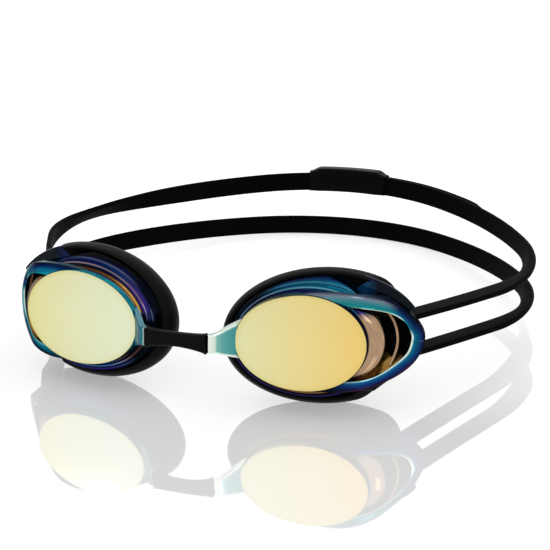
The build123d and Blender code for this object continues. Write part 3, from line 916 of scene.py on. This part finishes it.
def tab_material(side):
    """Coating on a nose tab: teal from the lens, with a painted highlight at the tip and along both edges.
    """
    n = mirror_coating("tab_film_" + side, 0.9 if side == "right" else 0.45, 0.25)
    if side == "right":
        base = n.ramp(n.attribute("along"), [(0.3, srgb(60, 138, 142)), (0.55, srgb(84, 156, 154)),
                                             (0.76, srgb(120, 176, 172)), (0.81, srgb(206, 222, 206)),
                                             (1.0, srgb(230, 236, 222))])
        edge = n.mask(n.attribute("turn"), ((0.8, 0), (0.93, 1)))
    else:
        base = n.ramp(n.attribute("along"), [(0.3, srgb(20, 116, 138)), (0.6, srgb(14, 108, 130)),
                                             (0.93, srgb(18, 98, 116)), (0.97, srgb(170, 200, 190))])
        edge = n.mask(n.attribute("turn"), ((0.97, 0), (1.0, 0.12)))
    # both edges are mixed towards a painted highlight colour
    n.colour(n.mix(edge, base, srgb(226, 238, 228)))
    n.bump(n.noise(700, 3.0), 0.06, 0.0003)
    return n.material


# where each stretch of the bow starts and stops, as (part of the way round, strength)
TOP_ARM = ((0.15, 0.0), (0.19, 1.0), (0.5, 1.0), (0.52, 0.0))
CORNER = ((0.03, 0.0), (0.08, 1.0), (0.13, 1.0), (0.18, 0.0))
LOW_ARM = ((0.5, 0.0), (0.55, 1.0), (0.9, 1.0), (0.95, 0.0))
LOW_END = ((0.5, 0.0), (0.6, 1.0), (0.72, 1.0), (0.78, 0.0))


def coat(name, across, along, stops, stretches, grain=26.0, depth=0.5, metallic=0.95):
    """Coating with one colour ramp across a strip, changed for other ramps along stretches of it; on the
    walls and bows its stops hold the coating's tint and also painted highlight lines and painted
    reflections.
    """
    n = mirror_coating(name, metallic, 0.12)
    side, length = n.attribute(across), n.attribute(along)
    colour = n.ramp(side, stops)
    for other, mask in stretches:
        colour = n.mix(n.mask(length, mask), colour, n.ramp(side, other))
    # fine streaks that run along the strip
    lines = n.node("ShaderNodeCombineXYZ")
    n.link(n.math("MULTIPLY", side, grain), lines.inputs[0])
    n.link(n.math("MULTIPLY", length, 14.0), lines.inputs[1])
    streak = n.ramp(n.noise_at(lines.outputs[0], 1.0, 3.0),
                    [(0.32, (0.35, 0.35, 0.4, 1)), (0.5, (0.85, 0.85, 0.85, 1)),
                     (0.68, (1.1, 1.1, 1.1, 1))])
    n.colour(n.mix(depth, colour, n.mix(1.0, colour, streak, "MULTIPLY")))
    return n.material


def wing_material(side):
    """Coating on the flange wing: it carries on from the wall's colour and turns black."""
    near = srgb(14, 62, 98) if side == "right" else srgb(16, 30, 70)
    return coat("wing_film_" + side, "turn", "along",
                [(0.0, INK), (0.6, INK), (0.68, srgb(34, 28, 80)), (0.75, near), (1.0, near)],
                [([(0.0, INK), (1.0, INK)], ((0.0, 0.0), (0.26, 0.0), (0.44, 1.0)))], metallic=0.35)


def bow_materials(side):
    """Front, inner side and outer side of the bow."""
    # on both sides the white and pale stops at the bow's inner edge (turn near 0), on the bar and at the
    # start of the arms, are painted highlight lines; the rest is the coating's tint
    if side == "right":
        front = coat("bow_front_right", "turn", "along",
                     [(0.0, EDGE_HIGHLIGHT), (0.17, EDGE_HIGHLIGHT), (0.22, srgb(20, 108, 140)),
                      (0.5, srgb(10, 80, 114)), (0.8, srgb(22, 44, 96)), (1.0, srgb(20, 18, 44))],
                     [([(0.0, CREAM_HIGHLIGHT), (0.07, CREAM_HIGHLIGHT), (0.12, srgb(50, 140, 140)), (0.35, srgb(18, 122, 128)),
                        (0.6, srgb(60, 130, 142)), (0.85, srgb(112, 134, 146)), (1.0, srgb(100, 96, 118))],
                       TOP_ARM),
                      ([(0.0, srgb(30, 118, 140)), (0.3, srgb(12, 70, 110)), (0.6, srgb(14, 30, 70)),
                        (1.0, INK)], CORNER),
                      ([(0.0, srgb(206, 226, 214)), (0.09, srgb(140, 190, 196)), (0.2, srgb(20, 96, 142)),
                        (0.45, srgb(16, 60, 116)), (0.7, srgb(22, 34, 84)), (0.88, srgb(40, 24, 60)),
                        (1.0, srgb(96, 66, 72))], LOW_ARM),
                      ([(0.0, BROWN), (0.3, INK), (1.0, INK)], LOW_END)])
    else:
        front = coat("bow_front_left", "turn", "along",
                     [(0.0, EDGE_HIGHLIGHT), (0.35, srgb(150, 215, 215)), (0.65, srgb(60, 160, 180)),
                      (1.0, srgb(16, 84, 120))],
                     [([(0.0, srgb(60, 170, 176)), (0.2, srgb(28, 130, 152)), (0.5, srgb(20, 100, 136)),
                        (0.75, srgb(10, 40, 84)), (1.0, srgb(10, 16, 44))], TOP_ARM),
                      ([(0.0, srgb(36, 120, 150)), (0.35, srgb(12, 60, 100)), (0.6, NAVY),
                        (1.0, srgb(70, 76, 96))], CORNER),
                      ([(0.0, srgb(110, 176, 172)), (0.3, srgb(20, 110, 130)), (0.7, srgb(14, 60, 80)),
                        (1.0, INK)], LOW_ARM)])
    inner = coat("bow_inner_" + side, "turn", "along", [(0.0, INK), (1.0, INK)],
                 [([(0.0, srgb(176, 134, 66)), (1.0, srgb(92, 64, 30))],
                   ((0.74, 0.0), (0.78, 0.2), (0.84, 0.55), (0.885, 0.9), (0.915, 0.3), (0.94, 0.0)))],
                 grain=14.0, depth=0.95)
    outer = film("bow_outer_" + side, [(0.0, NAVY), (0.1, INK), (0.16, srgb(40, 60, 90)),
                                       (0.26, srgb(84, 104, 116)), (0.36, srgb(80, 100, 96)), (0.5, INK),
                                       (0.8, srgb(70, 46, 60)), (0.9, PURPLE), (1.0, NAVY)], by="along")
    return [front, inner, outer]


# -------------------------------- assembly

def build_cup(side):
    """All the pieces of one eyecup, riding on its body."""
    mirror = side == "left"
    body = side + "_cup"
    shell = eyecup_shell(side + "_shell", cup_materials(side), mirror)
    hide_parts(side + "_eyecup")
    dark = film("dark_film_" + side, [(0.0, srgb(10, 12, 14)), (0.6, srgb(14, 15, 18)), (1.0, INK)],
                by="along", metallic=0.3, rough=0.3)
    # the rib's pale bands are painted reflections along its edge
    ribs = film("rib_film_" + side, [(0.0, BROWN), (0.25, TAN), (0.5, PALE_TEAL), (0.75, TAN), (1.0, BROWN)]
                if side == "right" else [(0.0, INK), (0.5, BROWN), (1.0, INK)])
    tab = tab_material(side)
    pieces = [shell,
              bow(side + "_bow", bow_materials(side), mirror),
              rib(side + "_rib", ribs, mirror),
              post(side + "_post", dark, mirror),
              wing(side + "_upper_wing", wing_material(side), mirror, True),
              wing(side + "_lower_wing", dark, mirror, False),
              nose_tab(side + "_nose_tab", tab, mirror)]
    for piece in pieces:
        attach(piece, body)
    seal = gasket(side + "_seal", RUBBER, mirror)
    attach(seal, body)
    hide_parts(side + "_gasket")


RUBBER = rubber("soft_rubber")
SILICONE = rubber("strap_silicone", shade=0.0012, rough=0.5, specular=0.01, grain=900, strength=0.06)
CLIP_PLASTIC = rubber("clip_plastic", shade=0.0014, rough=0.35, specular=0.03, grain=1200, strength=0.08)

for cup_side in ("right", "left"):
    build_cup(cup_side)

bridge = nose_bridge("bridge", RUBBER)
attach(bridge, "nose_bridge")
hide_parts("nose_bridge")

for strap_piece in head_strap(SILICONE):
    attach(strap_piece, "strap")
    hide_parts("head_strap")

clip = strap_clip(CLIP_PLASTIC)
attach(clip, "clip")
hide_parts("strap_clip")


# -------------------------------- floor, light and camera

def make_floor():
    """Plain white floor with a soft gloss."""
    mesh = bpy.data.meshes.new("floor")
    r = 4.0
    mesh.from_pydata([(-r, -r, 0), (r, -r, 0), (r, r, 0), (-r, r, 0)], [], [(0, 1, 2, 3)])
    floor = bpy.data.objects.new("floor", mesh)
    bpy.context.scene.collection.objects.link(floor)
    n = Nodes("floor_gloss", Roughness=0.9)
    n.colour(n.mask(n.noise(3.0), ((0.0, 0.56), (1.0, 0.6))))
    n.shader.inputs["Emission Color"].default_value = (1, 1, 1, 1)
    n.shader.inputs["Emission Strength"].default_value = 0.6
    n.shader.inputs["Specular IOR Level"].default_value = 0.0
    gloss = n.node("ShaderNodeBsdfGlossy")
    gloss.inputs["Roughness"].default_value = 0.03
    blend = n.node("ShaderNodeMixShader")
    depth = n.span(n.object_axis("Y"), (-0.075, 0.02))
    n.link(n.mask(depth, ((0.0, 0.45), (1.0, 0.08))), blend.inputs[0])
    n.link(n.shader.outputs[0], blend.inputs[1])
    n.link(gloss.outputs[0], blend.inputs[2])
    n.link(blend.outputs[0], n.tree.nodes["Material Output"].inputs[0])
    mesh.materials.append(n.material)


def make_light():
    """White studio: even surround and three soft boxes."""
    world = bpy.data.worlds.new("studio")
    bpy.context.scene.world = world
    world.use_nodes = True
    world.node_tree.nodes["Background"].inputs[0].default_value = (1, 1, 1, 1)
    world.node_tree.nodes["Background"].inputs[1].default_value = 1.0
    for name, place, size, power in (("key", (-0.5, -0.3, 0.8), 0.35, 0.7),
                                     ("fill", (0.6, -0.4, 0.5), 0.3, 0.5),
                                     ("back", (0.1, 0.7, 0.6), 0.4, 0.4)):
        light = bpy.data.lights.new(name, "AREA")
        light.energy = power
        light.size = size
        lamp = bpy.data.objects.new(name, light)
        lamp.location = place
        lamp.rotation_euler = (Vector((0, 0, 0.02)) - Vector(place)).to_track_quat("-Z", "Y").to_euler()
        bpy.context.scene.collection.objects.link(lamp)


def make_camera():
    """Camera in front of the goggles, to the wearer's left and above."""
    azimuth, elevation, roll = radians(20.4), radians(13.76), radians(0.94)
    target = Vector((29.29, 0, 43.2))
    distance = 510.25
    back = Vector((sin(azimuth) * cos(elevation), -cos(azimuth) * cos(elevation), sin(elevation)))
    right = Vector((cos(azimuth), sin(azimuth), 0))
    up = back.cross(right)
    rolled_right = right * cos(roll) + up * sin(roll)
    rolled_up = up * cos(roll) - right * sin(roll)
    data = bpy.data.cameras.new("camera")
    data.sensor_width = 36.0
    data.lens = 113.66
    data.clip_start = 0.01
    camera = bpy.data.objects.new("camera", data)
    bpy.context.scene.collection.objects.link(camera)
    basis = Matrix((rolled_right, rolled_up, back)).transposed().to_4x4()
    pitch = Matrix.Rotation(radians(-REST_PITCH), 4, "X")
    place = PLACE @ (target + back * distance)
    camera.matrix_world = Matrix.Translation(place) @ pitch @ basis
    bpy.context.scene.camera = camera


make_floor()
make_light()
make_camera()
bpy.context.scene.view_settings.view_transform = "Standard"
